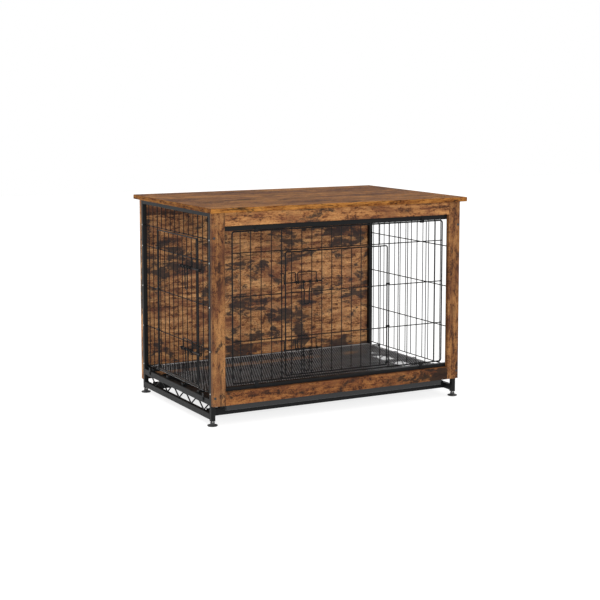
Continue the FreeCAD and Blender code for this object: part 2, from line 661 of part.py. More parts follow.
def build_latches(side):
    """Guides on the door, keepers on the panel, and a bolt with a hanging handle at each height."""
    point = latch_frame(side)
    kind = "front" if side == "front" else "side"
    direction = Vector(1, 0, 0) if side == "front" else Vector(0, 1, 0)
    bore = size("bolt_r") + size("running")
    wire = size("guide_r")
    out = size("bolt_out")
    guide_plane = size("upright_r") + wire - size("weld_sink")
    keeper_wire = size("jamb_r") if side == "front" else size("upright_r")
    keeper_plane = keeper_wire + wire - size("weld_sink")
    rise = size("guide_rise")
    keeper = size(f"keeper_{kind}")
    guides = []
    keepers = []
    for height_name, tag in (("low", "lower"), ("high", "upper")):
        axis_z = size(f"latch_{kind}_{height_name}")

        def arch(starts, plane):
            """A wire bent down at its ends, each end closed in an eye round the bolt."""
            bar = [point(along, plane, axis_z + level) for along, level in starts]
            shape = bent_wire(bar, wire, size("guide_bend"))
            for along, level in (starts[0], starts[-1]):
                if level == 0:
                    shape = shape.fuse(eye(point(along, out, axis_z), direction, bore, wire))
            return shape.removeSplitter().Solids[0]

        near, far, inner = size("guide_near"), size("guide_far"), size("guide_inner")
        guides.append(arch([(near, 0), (near, rise), (far, rise), (far, 0)], guide_plane))
        guides.append(arch([(size("guide_start"), rise), (inner, rise), (inner, 0)], guide_plane))
        keepers.append(arch([(keeper - size("keeper_long"), rise), (keeper, rise), (keeper, 0)], keeper_plane))

        tip = keeper + size("bolt_rest")
        shape = straight(point(tip, out, axis_z), point(size("bolt_tail"), out, axis_z), size("bolt_r"))
        middle, half = size("handle_mid"), size("handle_half")
        shoulder = half - size("guide_r") - size("collar_gap")
        for start in (middle - shoulder, middle + shoulder - size("collar_long")):
            collar = straight(point(start, out, axis_z), point(start + size("collar_long"), out, axis_z),
                              size("collar_r"))
            shape = shape.fuse(collar)
        solid(f"{side}_{tag}_bolt", shape.removeSplitter().Solids[0])

        neck, waist = size("handle_neck"), size("handle_waist")
        outline = [(half, bore + size("guide_r")), (half, neck), (waist, neck + size("handle_taper")),
                   (waist, size("handle_drop"))]
        loop = [point(middle - along, out, axis_z - drop) for along, drop in outline]
        loop += [point(middle + along, out, axis_z - drop) for along, drop in reversed(outline)]
        shape = bent_wire(loop, size("handle_r"), size("handle_bend"))
        for along in (middle - half, middle + half):
            shape = shape.fuse(eye(point(along, out, axis_z), direction, bore, size("guide_r")))
        solid(f"{side}_{tag}_handle", shape.removeSplitter().Solids[0])
    solid(f"{side}_latch_guides", Part.Compound(guides))
    solid(f"{side}_keepers", Part.Compound(keepers))


# ---------------------------------------------------------------- feet and fasteners

def build_feet():
    plugs = []
    inside = "(sizes.tube - 2 * sizes.tube_wall - sizes.plug_gap)"
    for side, sign_x in SIDES:
        for end, sign_y in ENDS:
            centre_x, centre_y = f"{sign_x}{POST_X}", f"{sign_y}{POST_Y}"
            block = document.addObject("Part::Box", "Plug")
            bind(block, Length=inside, Width=inside, Height="sizes.plug_tall")
            place(block, (f"{centre_x} - {inside} / 2", f"{centre_y} - {inside} / 2", "sizes.post_bottom"))
            bore = rod("sizes.stem_r + sizes.running", "sizes.plug_tall", (centre_x, centre_y, "sizes.post_bottom"),
                       "z")
            plug = document.addObject("Part::Cut", "PlugCut")
            plug.Base = block
            plug.Tool = bore
            plugs.append(plug)
            keep(foot_pad(centre_x, centre_y), f"{end}_{side}_foot")
            stem = rod("sizes.stem_r", "sizes.stem_top - sizes.neck_top", (centre_x, centre_y, "sizes.neck_top"), "z")
            keep(stem, f"{end}_{side}_foot_stem")
    group("post_plugs", plugs)


def foot_pad(centre_x, centre_y):
    """A round levelling foot: a thin pad that sweeps up into a neck."""
    body = document.addObject("PartDesign::Body", "Foot")
    sketch = flat_sketch(body, "XZ_Plane")
    pad_r, pad_tall = size("pad_r"), size("pad_tall")
    neck_r, neck_top = size("neck_r"), size("neck_top")
    edge, slope = size("pad_edge"), size("pad_slope")
    outline = [(0, 0), (pad_r - edge, 0), (pad_r, edge), (pad_r, pad_tall - edge), (pad_r - slope, pad_tall),
               (neck_r, pad_tall + edge), (neck_r, neck_top), (0, neck_top)]
    points = [Vector(x, y, 0) for x, y in outline]
    count = len(points)
    for here, there in zip(points, points[1:] + points[:1]):
        sketch.addGeometry(Part.LineSegment(here, there), False)
    for index in range(count):
        sketch.addConstraint(Sketcher.Constraint("Coincident", index, 2, (index + 1) % count, 1))
    sketch.addConstraint(Sketcher.Constraint("Coincident", 0, 1, -1, 1))
    sketch.addConstraint(Sketcher.Constraint("PointOnObject", count - 1, 1, -2))
    for index, name, expression in ((3, "pad", "sizes.pad_r"), (6, "neck", "sizes.neck_r")):
        constraint = sketch.addConstraint(Sketcher.Constraint("DistanceX", -1, 1, index, 1, points[index].x))
        sketch.renameConstraint(constraint, name)
        sketch.setExpression(f"Constraints.{name}", expression)
    constraint = sketch.addConstraint(Sketcher.Constraint("DistanceY", -1, 1, count - 1, 1, neck_top))
    sketch.renameConstraint(constraint, "tall")
    sketch.setExpression("Constraints.tall", "sizes.neck_top")
    turned = body.newObject("PartDesign::Revolution", "Revolution")
    turned.Profile = sketch
    turned.ReferenceAxis = (sketch, ["V_Axis"])
    turned.Angle = 360
    return place(body, (centre_x, centre_y, 0))


def screw(tip, head):
    """A pan-head screw from its tip to the underside of its head."""
    away = Vector(head - tip).normalize()
    shank = straight(tip, head, size("screw_r"))
    return shank.fuse(Part.makeCylinder(size("head_r"), size("head_tall"), head, away)).removeSplitter().Solids[0]


def build_screws():
    """Screws through the stiles and the back panel into the posts, and up through the top rails."""
    post_x = (size("frame_wide") - size("tube")) / 2
    face = size("frame_deep") / 2
    inner_end = face - size("screw_long")
    board_under = size("crate_tall") - size("board_thick")
    screws = []
    drilled = {}

    def fix(tip, head, *names):
        screws.append(screw(tip, head))
        for name in names:
            drilled.setdefault(name, []).append((tip, head))

    for side, sign in (("left", -1), ("right", 1)):
        x = sign * post_x
        for level in (size("stile_screw_low"), size("stile_screw_high")):
            fix(Vector(x, -inner_end, level), Vector(x, -face, level), f"{side}_stile", f"front_{side}_post")
        for level in (size("back_screw_low"), size("back_screw_mid"), size("back_screw_high")):
            fix(Vector(x, inner_end, level), Vector(x, face, level), "back_panel", f"rear_{side}_post")
        for along in (-size("top_screw_pitch"), 0, size("top_screw_pitch")):
            tip = Vector(x, along, board_under + size("screw_in_top"))
            head = Vector(x, along, board_under - size("tube"))
            fix(tip, head, "top_board", f"{side}_top_rail")
    solid("frame_screws", Part.Compound(screws))
    for name, holes in drilled.items():
        tools = []
        for tip, head in holes:
            tool = document.addObject("Part::Feature", "Drill")
            tool.Shape = straight(tip, head, size("screw_r"))
            tools.append(tool)
        drill(name, tools)


def write_parts():
    document.recompute()
    failed = [item.Name for item in document.Objects if {"Invalid", "Error"} & set(item.State)]
    if failed:
        raise RuntimeError(f"these objects did not compute: {failed}")
    os.makedirs("parts", exist_ok=True)
    for name, piece in nodes.items():
        shape = piece.Shape
        if shape.isNull() or not shape.isValid() or not shape.Solids:
            raise RuntimeError(f"{name} has no valid solid")
        shape.exportStep(f"parts/{name}.step")
    print(len(nodes), "sub-parts written")


build_boards()
build_frame()
build_trusses()
build_floor()
build_mesh_clips()
build_tray()
build_front_panel()
build_side_panels()
build_ferrules()
build_panel_clips()
for doorway_side in ("front", "left"):
    build_door(doorway_side)
    build_hinge_clips(doorway_side)
    build_latches(doorway_side)
build_feet()
build_screws()
write_parts()
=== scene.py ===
import json
import math

import bmesh
import bpy
from mathutils import Euler, Matrix, Vector


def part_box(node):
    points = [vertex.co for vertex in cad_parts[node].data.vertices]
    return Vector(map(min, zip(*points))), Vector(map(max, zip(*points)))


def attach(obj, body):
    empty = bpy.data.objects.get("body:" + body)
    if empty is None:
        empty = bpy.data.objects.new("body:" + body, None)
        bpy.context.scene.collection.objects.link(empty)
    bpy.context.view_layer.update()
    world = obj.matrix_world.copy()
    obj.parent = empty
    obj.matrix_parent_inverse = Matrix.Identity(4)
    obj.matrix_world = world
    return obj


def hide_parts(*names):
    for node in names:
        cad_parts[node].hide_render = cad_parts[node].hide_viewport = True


# The looks of a furniture dog crate: laminate boards, powder-coated tube and wire, an open mesh floor.
# Metres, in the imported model's frame: +X right, +Y back, +Z up.

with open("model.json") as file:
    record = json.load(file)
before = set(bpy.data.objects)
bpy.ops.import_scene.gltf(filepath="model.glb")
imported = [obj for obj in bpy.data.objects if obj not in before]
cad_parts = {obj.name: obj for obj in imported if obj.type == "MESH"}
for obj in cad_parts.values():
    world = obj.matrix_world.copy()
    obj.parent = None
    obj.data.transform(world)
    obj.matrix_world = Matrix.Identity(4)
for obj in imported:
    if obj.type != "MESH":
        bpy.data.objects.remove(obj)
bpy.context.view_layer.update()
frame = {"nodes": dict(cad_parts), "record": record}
nodes = frame["nodes"]
slot_of = {part["node"]: part["material_slot"] for part in frame["record"]["subparts"]}
MM = 0.001


# ---------------------------------------------------------------- camera, light and floor

def set_camera():
    """Stands in front and to the left, a little above the top, and looks slightly down."""
    place = (-2.3006, -4.2756, 1.0967)
    turned_right = math.radians(28.355)
    tipped_down = math.radians(6.388)
    data = bpy.data.cameras.new("camera")
    data.sensor_width = 36
    data.lens = 82.96
    data.shift_y = -0.1
    data.clip_end = 60
    camera = bpy.data.objects.new("camera", data)
    camera.location = place
    camera.rotation_euler = Euler((math.radians(90) - tipped_down, 0, -turned_right))
    bpy.context.scene.collection.objects.link(camera)
    bpy.context.scene.camera = camera


def add_area(name, location, target, size, watts):
    data = bpy.data.lights.new(name, "AREA")
    data.shape = "SQUARE"
    data.size = size
    data.energy = watts
    light = bpy.data.objects.new(name, data)
    light.location = location
    light.rotation_euler = (Vector(target) - Vector(location)).to_track_quat("-Z", "Y").to_euler()
    bpy.context.scene.collection.objects.link(light)


def set_light():
    scene = bpy.context.scene
    scene.view_settings.view_transform = "Standard"
    world = bpy.data.worlds.new("studio")
    world.use_nodes = True
    background = world.node_tree.nodes["Background"]
    background.inputs["Color"].default_value = (1, 1, 1, 1)
    background.inputs["Strength"].default_value = 1.0
    scene.world = world
    add_area("front_key", (-1.3, -4.3, 1.2), (0, 0, 0.35), 1.8, 100)
    add_area("top_soft", (-0.5, -0.8, 3.6), (0, 0, 0.4), 3.0, 10)


# ---------------------------------------------------------------- shader graphs

class Graph:
    """A short way to write a material's nodes."""

    def __init__(self, name):
        self.material = bpy.data.materials.new(name)
        self.material.use_nodes = True
        self.tree = self.material.node_tree
        self.tree.nodes.clear()
        output = self.node("ShaderNodeOutputMaterial")
        self.shader = self.node("ShaderNodeBsdfPrincipled")
        self.link(self.shader.outputs["BSDF"], output.inputs["Surface"])
        self.place = self.node("ShaderNodeTexCoord").outputs["Object"]

    def node(self, kind, **settings):
        item = self.tree.nodes.new(kind)
        for name, value in settings.items():
            setattr(item, name, value)
        return item

    def link(self, source, target):
        self.tree.links.new(source, target)

    def feed(self, socket, value):
        if isinstance(value, bpy.types.NodeSocket):
            self.link(value, socket)
        else:
            socket.default_value = value

    def math(self, operation, first, second=0.0, third=0.0):
        item = self.node("ShaderNodeMath", operation=operation)
        for socket, value in zip(item.inputs, (first, second, third)):
            self.feed(socket, value)
        return item.outputs[0]

    def vector(self, operation, first, second):
        item = self.node("ShaderNodeVectorMath", operation=operation)
        self.feed(item.inputs[0], first)
        self.feed(item.inputs[1], second)
        return item.outputs[0]

    def scaled(self, vector, x, y, z):
        return self.vector("MULTIPLY", vector, (x, y, z))

    def noise(self, vector, scale=1.0, detail=4.0, rough=0.5, distort=0.0, output=0):
        item = self.node("ShaderNodeTexNoise")
        self.feed(item.inputs["Vector"], vector)
        item.inputs["Scale"].default_value = scale
        item.inputs["Detail"].default_value = detail
        item.inputs["Roughness"].default_value = rough
        item.inputs["Distortion"].default_value = distort
        return item.outputs[output]

    def ramp(self, factor, *stops):
        item = self.node("ShaderNodeValToRGB")
        self.feed(item.inputs["Fac"], factor)
        elements = item.color_ramp.elements
        while len(elements) < len(stops):
            elements.new(0.5)
        for element, (position, colour) in zip(elements, stops):
            element.position = position
            element.color = (*colour, 1)
        return item.outputs["Color"]

    def step(self, value, low, high):
        """0 below low, 1 above high, smooth between."""
        item = self.node("ShaderNodeMapRange", interpolation_type="SMOOTHSTEP")
        self.feed(item.inputs["Value"], value)
        item.inputs["From Min"].default_value = low
        item.inputs["From Max"].default_value = high
        return item.outputs["Result"]

    def mix(self, factor, first, second, blend="MIX"):
        item = self.node("ShaderNodeMix", data_type="RGBA", blend_type=blend)
        self.feed(item.inputs[0], factor)
        for socket, value in ((item.inputs[6], first), (item.inputs[7], second)):
            self.feed(socket, (*value, 1) if isinstance(value, tuple) else value)
        return item.outputs[2]

    def bump(self, height, depth, strength=1.0):
        item = self.node("ShaderNodeBump")
        item.inputs["Strength"].default_value = strength
        item.inputs["Distance"].default_value = depth
        self.link(height, item.inputs["Height"])
        self.link(item.outputs["Normal"], self.shader.inputs["Normal"])

    def base(self, **values):
        for name, value in values.items():
            self.feed(self.shader.inputs[name.replace("_", " ")], value)


HONEY = (0.48, 0.235, 0.085)
TAN = (0.28, 0.116, 0.040)
CHESTNUT = (0.115, 0.043, 0.018)
UMBER = (0.036, 0.017, 0.010)
CHARCOAL = (0.014, 0.013, 0.014)


def laminate(name, grain, edge, seed, light, patches=0.5, speckle=0.5, plank=0.12, tone=0.5, run=1.0, gloss=0.12):
    """Printed rustic woodgrain. grain is the axis the figure runs along, and edge the one that its edge band runs
    along at the board's ends; patches is how much is charred, speckle how strong the small ticks are, and run how
    long the streaks are."""
    g = Graph(name)
    spots = g.node("ShaderNodeSeparateXYZ")
    g.link(g.place, spots.inputs[0])
    facing = g.node("ShaderNodeSeparateXYZ")
    g.link(g.node("ShaderNodeTexCoord").outputs["Normal"], facing.inputs[0])
    other = next(letter for letter in "XYZ" if letter not in (grain, edge))
    at_end = g.step(g.math("ABSOLUTE", facing.outputs[grain]), 0.5, 0.6)
    along = spots.outputs[grain]
    across = g.math("ADD", spots.outputs[edge], spots.outputs[other])
    along = g.math("MULTIPLY_ADD", at_end, g.math("SUBTRACT", spots.outputs[edge], along), along)
    across = g.math("MULTIPLY_ADD", at_end, g.math("SUBTRACT", spots.outputs[other], across), across)
    across = g.math("ADD", across, seed * 0.37)
    row = g.math("FLOOR", g.math("DIVIDE", across, plank))
    chance = g.node("ShaderNodeTexWhiteNoise", noise_dimensions="1D")
    g.link(g.math("ADD", row, seed * 7.3), chance.inputs["W"])
    luck = chance.outputs["Value"]
    along = g.math("ADD", along, g.math("MULTIPLY", luck, 5.0))
    joined = g.node("ShaderNodeCombineXYZ")
    g.link(along, joined.inputs[0])
    g.link(across, joined.inputs[1])
    joined.inputs[2].default_value = seed * 1.9
    flat = joined.outputs[0]
    wander = g.noise(g.scaled(flat, 5, 9, 1), detail=2, output=1)
    place = g.vector("ADD", flat, g.scaled(g.vector("SUBTRACT", wander, (0.5, 0.5, 0.5)), 0.012, 0.020, 0))

    def centred(value, amount, onto):
        return g.math("MULTIPLY_ADD", g.math("SUBTRACT", value, 0.5), amount, onto)

    figure = g.noise(g.scaled(place, 4.6 / run, 40, 1), detail=5, rough=0.60, distort=0.6)
    streak = g.noise(g.scaled(place, 30 / run, 260, 1), detail=3, rough=0.6)
    mottle = g.noise(g.scaled(place, 38 / run, 56, 1), detail=5, rough=0.72, distort=0.4)
    cloud = g.noise(g.scaled(place, 8.0 / run, 15, 1), detail=6, rough=0.62, distort=0.6)
    broad = g.noise(g.scaled(place, 3.0 / run, 6.0, 1), detail=3, rough=0.5)
    fleck = g.noise(g.scaled(place, 170 / run, 230, 1), detail=3, rough=0.75)

    level = centred(figure, 1.7, tone)
    level = centred(broad, 1.3, level)
    level = centred(mottle, 2.2, level)
    level = centred(streak, 0.9, level)
    level = centred(fleck, 1.8, level)
    level = centred(luck, 0.10, level)
    colour = g.ramp(level, (0.06, UMBER), (0.30, CHESTNUT), (0.52, TAN), (0.84, HONEY))

    rust = g.step(g.noise(g.scaled(place, 11, 26, 1), detail=4), 0.48, 0.62)
    colour = g.mix(g.math("MULTIPLY", rust, 0.45), colour, (0.150, 0.052, 0.026))

    ticks = g.step(centred(mottle, 0.4, fleck), 0.53, 0.61)
    colour = g.mix(g.math("MULTIPLY", ticks, speckle), colour, (0.050, 0.022, 0.014))

    brink = 0.65 - 0.17 * patches
    char = centred(streak, 0.12, cloud)
    char = centred(mottle, 0.50, char)
    char = centred(broad, 0.45, char)
    burnt = g.step(char, brink, brink + 0.10)
    colour = g.mix(g.math("MULTIPLY", burnt, 0.90), colour, CHARCOAL)

    knots = g.node("ShaderNodeTexVoronoi", feature="F1")
    g.link(g.scaled(place, 5.5, 11.0, 0), knots.inputs["Vector"])
    knots.inputs["Scale"].default_value = 1.0
    reach = centred(mottle, 0.10, knots.outputs["Distance"])
    core = g.math("SUBTRACT", 1.0, g.step(reach, 0.040, 0.085))
    halo = g.math("SUBTRACT", 1.0, g.step(reach, 0.10, 0.22))
    colour = g.mix(g.math("MULTIPLY", halo, 0.40), colour, (0.070, 0.028, 0.014))
    colour = g.mix(g.math("MULTIPLY", core, 0.94), colour, (0.010, 0.008, 0.008))

    ridge = g.noise(g.scaled(place, 4.0, 46, 1), detail=2, distort=0.2)
    crack = g.math("SUBTRACT", 1.0, g.step(g.math("ABSOLUTE", g.math("SUBTRACT", ridge, 0.5)), 0.004, 0.016))
    crack = g.math("MULTIPLY", crack, g.step(broad, 0.48, 0.60))
    colour = g.mix(g.math("MULTIPLY", crack, 0.70), colour, (0.022, 0.012, 0.009))

    within = g.math("SUBTRACT", g.math("DIVIDE", across, plank), row)
    seam = g.math("SUBTRACT", 1.0, g.step(g.math("MULTIPLY", within, plank), 0.0006, 0.0024))
    colour = g.mix(g.math("MULTIPLY", seam, 0.55), colour, (0.028, 0.015, 0.010))

    # painted light and shade: each board's light factor makes the same laminate lighter or darker to stand in for
    # how much light falls on that board
    colour = g.mix(1.0, colour, light, "MULTIPLY")
    rough = g.math("MULTIPLY_ADD", burnt, 0.08, 0.62)
    rough = centred(streak, 0.16, rough)
    g.base(Base_Color=colour, Roughness=rough)
    g.shader.inputs["Specular IOR Level"].default_value = gloss
    height = g.math("ADD", streak, g.math("MULTIPLY", core, -0.8))
    height = g.math("ADD", height, g.math("MULTIPLY", crack, -0.7))
    g.bump(height, 0.00022, 0.6)
    return g.material


def powder_coat(name, shade=0.007, rough=0.42, wear=0.0, gloss=0.2):
    """Satin black powder coat: fine orange peel, with faint dust-grey drift."""
    g = Graph(name)
    drift = g.noise(g.place, scale=9, detail=4)
    peel = g.noise(g.place, scale=1500, detail=2)
    shine = g.noise(g.place, scale=40, detail=3)
    low = tuple(shade * tint for tint in (0.82, 0.84, 0.90))
    high = tuple(shade * tint for tint in (1.18, 1.19, 1.24))
    colour = g.mix(drift, low, high)
    if wear:
        spots = g.step(g.noise(g.place, scale=260, detail=3), 0.68, 0.78)
        colour = g.mix(g.math("MULTIPLY", spots, wear), colour, (0.10, 0.10, 0.10))
    g.base(Base_Color=colour, Roughness=g.math("MULTIPLY_ADD", shine, 0.14, rough - 0.07))
    g.shader.inputs["Specular IOR Level"].default_value = gloss
    g.bump(peel, 0.00006, 0.5)
    return g.material


def glint_painted_mesh(name, start, step):
    """Black coat on the expanded metal, with painted highlights: light grey on the knuckles where one strand
    meets the next.
    """
    g = Graph(name)
    split = g.node("ShaderNodeSeparateXYZ")
    g.link(g.place, split.inputs[0])
    turns = g.math("DIVIDE", g.math("SUBTRACT", split.outputs["Y"], start), step)
    middle = g.math("PINGPONG", turns, 0.5)
    # painted highlight: the light grey on each knuckle stands for a glint, not for wear
    painted_glint = g.math("SUBTRACT", 1.0, g.step(middle, 0.08, 0.26))
    drift = g.noise(g.place, scale=26, detail=4)
    patch = g.math("MULTIPLY_ADD", g.step(drift, 0.35, 0.65), 0.35, 0.65)
    colour = g.mix(g.math("MULTIPLY", painted_glint, patch), (0.040, 0.040, 0.043), (0.74, 0.74, 0.75))
    shine = g.noise(g.place, scale=40, detail=3)
    g.base(Base_Color=colour, Roughness=g.math("MULTIPLY_ADD", shine, 0.14, 0.24))
    g.shader.inputs["Specular IOR Level"].default_value = 0.7
    g.bump(g.noise(g.place, scale=1500, detail=2), 0.00006, 0.5)
    return g.material


def moulded(name, shade=0.022):
    """Fine-grained moulded black plastic."""
    g = Graph(name)
    drift = g.noise(g.place, scale=30, detail=4)
    grain = g.noise(g.place, scale=2200, detail=2)
    g.base(Base_Color=g.mix(drift, (shade * 0.85,) * 3, (shade * 1.25,) * 3),
           Roughness=g.math("MULTIPLY_ADD", drift, 0.12, 0.46))
    g.bump(grain, 0.00005, 0.5)
    return g.material


def plated(name):
    """Dull zinc plating with faint clouding."""
    bright = (0.62, 0.62, 0.60)
    dull = tuple(value * 0.78 for value in bright)
    g = Graph(name)
    cloud = g.noise(g.place, scale=160, detail=4)
    fine = g.noise(g.place, scale=2600, detail=2)
    g.base(Base_Color=g.mix(cloud, dull, bright), Roughness=g.math("MULTIPLY_ADD", cloud, 0.16, 0.30))
    g.shader.inputs["Metallic"].default_value = 1.0
    g.bump(fine, 0.00002, 0.4)
    return g.material


# The light factors are painted light and shade on one laminate. The back panel sits in shade inside the crate and
# is painted lighter. The lit front boards and the top are painted darker, and the top is also made less blue to
# offset its sheen.
BOARDS = {
    "top_board": dict(grain="X", edge="Y", seed=1.0, light=(0.70, 0.61, 0.38), patches=0.25, speckle=0.35,
                      plank=0.165, tone=0.58, run=2.0, gloss=0.04),
    "back_panel": dict(grain="X", edge="Z", seed=5.0, light=(1.40, 1.52, 1.72), patches=0.90, speckle=0.60,
                       plank=0.19, tone=0.58),
    "left_stile": dict(grain="Z", edge="X", seed=2.0, light=(0.60, 0.58, 0.56), patches=0.05, speckle=0.60,
                       plank=0.2, tone=0.60),
    "right_stile": dict(grain="Z", edge="X", seed=8.0, light=(0.64, 0.62, 0.58), patches=0.45, speckle=0.60,
                        plank=0.2, tone=0.58),
    "front_top_rail": dict(grain="X", edge="Z", seed=3.0, light=(0.86, 0.84, 0.80), patches=0.35, speckle=0.40,
                           plank=0.3, tone=0.64, run=1.3),
    "front_bottom_rail": dict(grain="X", edge="Z", seed=9.0, light=(0.58, 0.49, 0.40), patches=0.72, speckle=0.50,
                              plank=0.3, tone=0.54),
}


def dress(piece, material):
    piece.data.materials.clear()
    piece.data.materials.append(material)


def dress_nodes():
    """Every CAD part gets the finish of its slot, and each board its own cut of the laminate."""
    finishes = {
        "frame_coat": powder_coat("frame_coat_finish", 0.006, 0.44, gloss=0.12),
        "wire_coat": powder_coat("wire_coat_finish", 0.004, 0.36, gloss=0.12),
        "mesh_coat": powder_coat("mesh_coat_finish", 0.110, 0.30, wear=0.30, gloss=0.8),
        "tray_coat": powder_coat("tray_coat_finish", 0.012, 0.40, gloss=0.35),
        "foot_plastic": moulded("foot_plastic_finish"),
        "plug_plastic": moulded("plug_plastic_finish", 0.018),
        "zinc_steel": plated("zinc_steel_finish"),
        "screw_steel": powder_coat("screw_steel_finish", 0.03, 0.30),
    }
    for name, node in nodes.items():
        if name in BOARDS:
            dress(node, laminate(f"{name}_finish", **BOARDS[name]))
        else:
            dress(node, finishes[slot_of[name]])
    return finishes


# ---------------------------------------------------------------- mesh building

def finish_piece(name, mesh_data, body, material, smooth=True):
    """Closes off a bmesh as one named piece that rides on a body."""
    mesh = bpy.data.meshes.new(name)
    bmesh.ops.recalc_face_normals(mesh_data, faces=mesh_data.faces[:])
    mesh_data.to_mesh(mesh)
    mesh_data.free()
    for polygon in mesh.polygons:
        polygon.use_smooth = smooth
    piece = bpy.data.objects.new(name, mesh)
    bpy.context.scene.collection.objects.link(piece)
    dress(piece, material)
    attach(piece, body)
    return piece


def islands(node):
    """The box of each separate solid in a CAD node."""
    work = bmesh.new()
    work.from_mesh(node.data)
    bmesh.ops.remove_doubles(work, verts=work.verts[:], dist=2e-6)
    seen = set()
    boxes = []
    for start in work.verts:
        if start in seen:
            continue
        stack = [start]
        seen.add(start)
        low = start.co.copy()
        high = start.co.copy()
        while stack:
            vertex = stack.pop()
            for axis in range(3):
                low[axis] = min(low[axis], vertex.co[axis])
                high[axis] = max(high[axis], vertex.co[axis])
            for edge in vertex.link_edges:
                other = edge.other_vert(vertex)
                if other not in seen:
                    seen.add(other)
                    stack.append(other)
        boxes.append((low, high))
    work.free()
    return boxes


def add_tube(work, points, radii, sides=6):
    """A closed tube through points, with its own radius at each, for beads and bent wire."""
    rings = []
    for index, point in enumerate(points):
        before = points[max(index - 1, 0)]
        after = points[min(index + 1, len(points) - 1)]
        ahead = (after - before).normalized()
        side = ahead.orthogonal().normalized()
        lift = ahead.cross(side)
        ring = []
        for corner in range(sides):
            angle = 2 * math.pi * corner / sides
            ring.append(work.verts.new(point + radii[index] * (math.cos(angle) * side + math.sin(angle) * lift)))
        rings.append(ring)
    close_over(work, rings)


def close_over(work, rings):
    """Joins each ring to the next, nearest vertex to nearest, and caps both ends."""
    sides = len(rings[0])
    for first, second in zip(rings, rings[1:]):
        best = min(range(sides), key=lambda turn: (first[0].co - second[turn].co).length)
        for corner in range(sides):
            work.faces.new((
                first[corner], first[(corner + 1) % sides],
                second[(corner + 1 + best) % sides], second[(corner + best) % sides],
            ))
    work.faces.new(rings[0])
    work.faces.new(list(reversed(rings[-1])))


def spin(work, base, away, outline, sides, spread=None):
    """Rings round the line from base along away. outline gives each ring's radius and its height along the line,
    and spread a factor on the radius at each angle."""
    side = away.orthogonal().normalized()
    lift = away.cross(side)
    rings = []
    for radius, height in outline:
        ring = []
        for index in range(sides):
            angle = 2 * math.pi * index / sides
            spoke = math.cos(angle) * side + math.sin(angle) * lift
            reach = radius * spread(angle) if spread else radius
            ring.append(work.verts.new(base + away * height + reach * spoke))
        rings.append(ring)
    return rings


def add_box(work, low, high):
    corners = [
        work.verts.new((x, y, z))
        for x in (low[0], high[0]) for y in (low[1], high[1]) for z in (low[2], high[2])
    ]
    for face in ((0, 1, 3, 2), (4, 6, 7, 5), (0, 4, 5, 1), (2, 3, 7, 6), (0, 2, 6, 4), (1, 5, 7, 3)):
        work.faces.new([corners[index] for index in face])


def add_bead(work, centre, scale):
    matrix = Matrix.Translation(centre) @ Matrix.Diagonal((*scale, 1))
    bmesh.ops.create_icosphere(work, subdivisions=1, radius=1, matrix=matrix)


# ---------------------------------------------------------------- floor mesh

def build_floor_mesh():
    """Expanded metal: zigzag strands that meet at their peaks, inside a flat border."""
    low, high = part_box("floor_mesh")
    border = 7 * MM
    half_wide = 4.5 * MM
    row_pitch = 11 * MM
    strand = 1.3 * MM
    work = bmesh.new()
    inner_low = Vector((low.x + border, low.y + border, low.z))
    inner_high = Vector((high.x - border, high.y - border, high.z))
    columns = round((inner_high.x - inner_low.x) / half_wide)
    rows = round((inner_high.y - inner_low.y) / row_pitch)
    step_x = (inner_high.x - inner_low.x) / columns
    step_y = (inner_high.y - inner_low.y) / rows
    base = low.z + 0.7 * MM
    top = high.z - 0.4 * MM
    for row in range(rows):
        middle = inner_low.y + (row + 0.5) * step_y
        flip = 1 if row % 2 else -1
        rings = []
        for column in range(columns + 1):
            x = inner_low.x + column * step_x
            side = flip if column % 2 else -flip
            y = middle + side * (step_y / 2 - strand * 0.35)
            rings.append([
                work.verts.new((x, y - strand / 2, base)), work.verts.new((x, y + strand / 2, base)),
                work.verts.new((x, y + strand / 2, top)), work.verts.new((x, y - strand / 2, top)),
            ])
        for first, second in zip(rings, rings[1:]):
            for corner in range(4):
                work.faces.new((first[corner], second[corner], second[(corner + 1) % 4], first[(corner + 1) % 4]))
        work.faces.new(rings[0])
        work.faces.new(list(reversed(rings[-1])))
    lap = 1 * MM
    add_box(work, (low.x, low.y, low.z), (high.x, low.y + border + lap, high.z))
    add_box(work, (low.x, high.y - border - lap, low.z), (high.x, high.y, high.z))
    add_box(work, (low.x, low.y + border + lap, low.z), (low.x + border + lap, high.y - border - lap, high.z))
    add_box(work, (high.x - border - lap, low.y + border + lap, low.z), (high.x, high.y - border - lap, high.z))
    material = glint_painted_mesh("expanded_mesh_finish", inner_low.y, step_y)
    piece = finish_piece("expanded_mesh_floor", work, "crate", material, smooth=False)
    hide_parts("floor_mesh")


# ---------------------------------------------------------------- welds

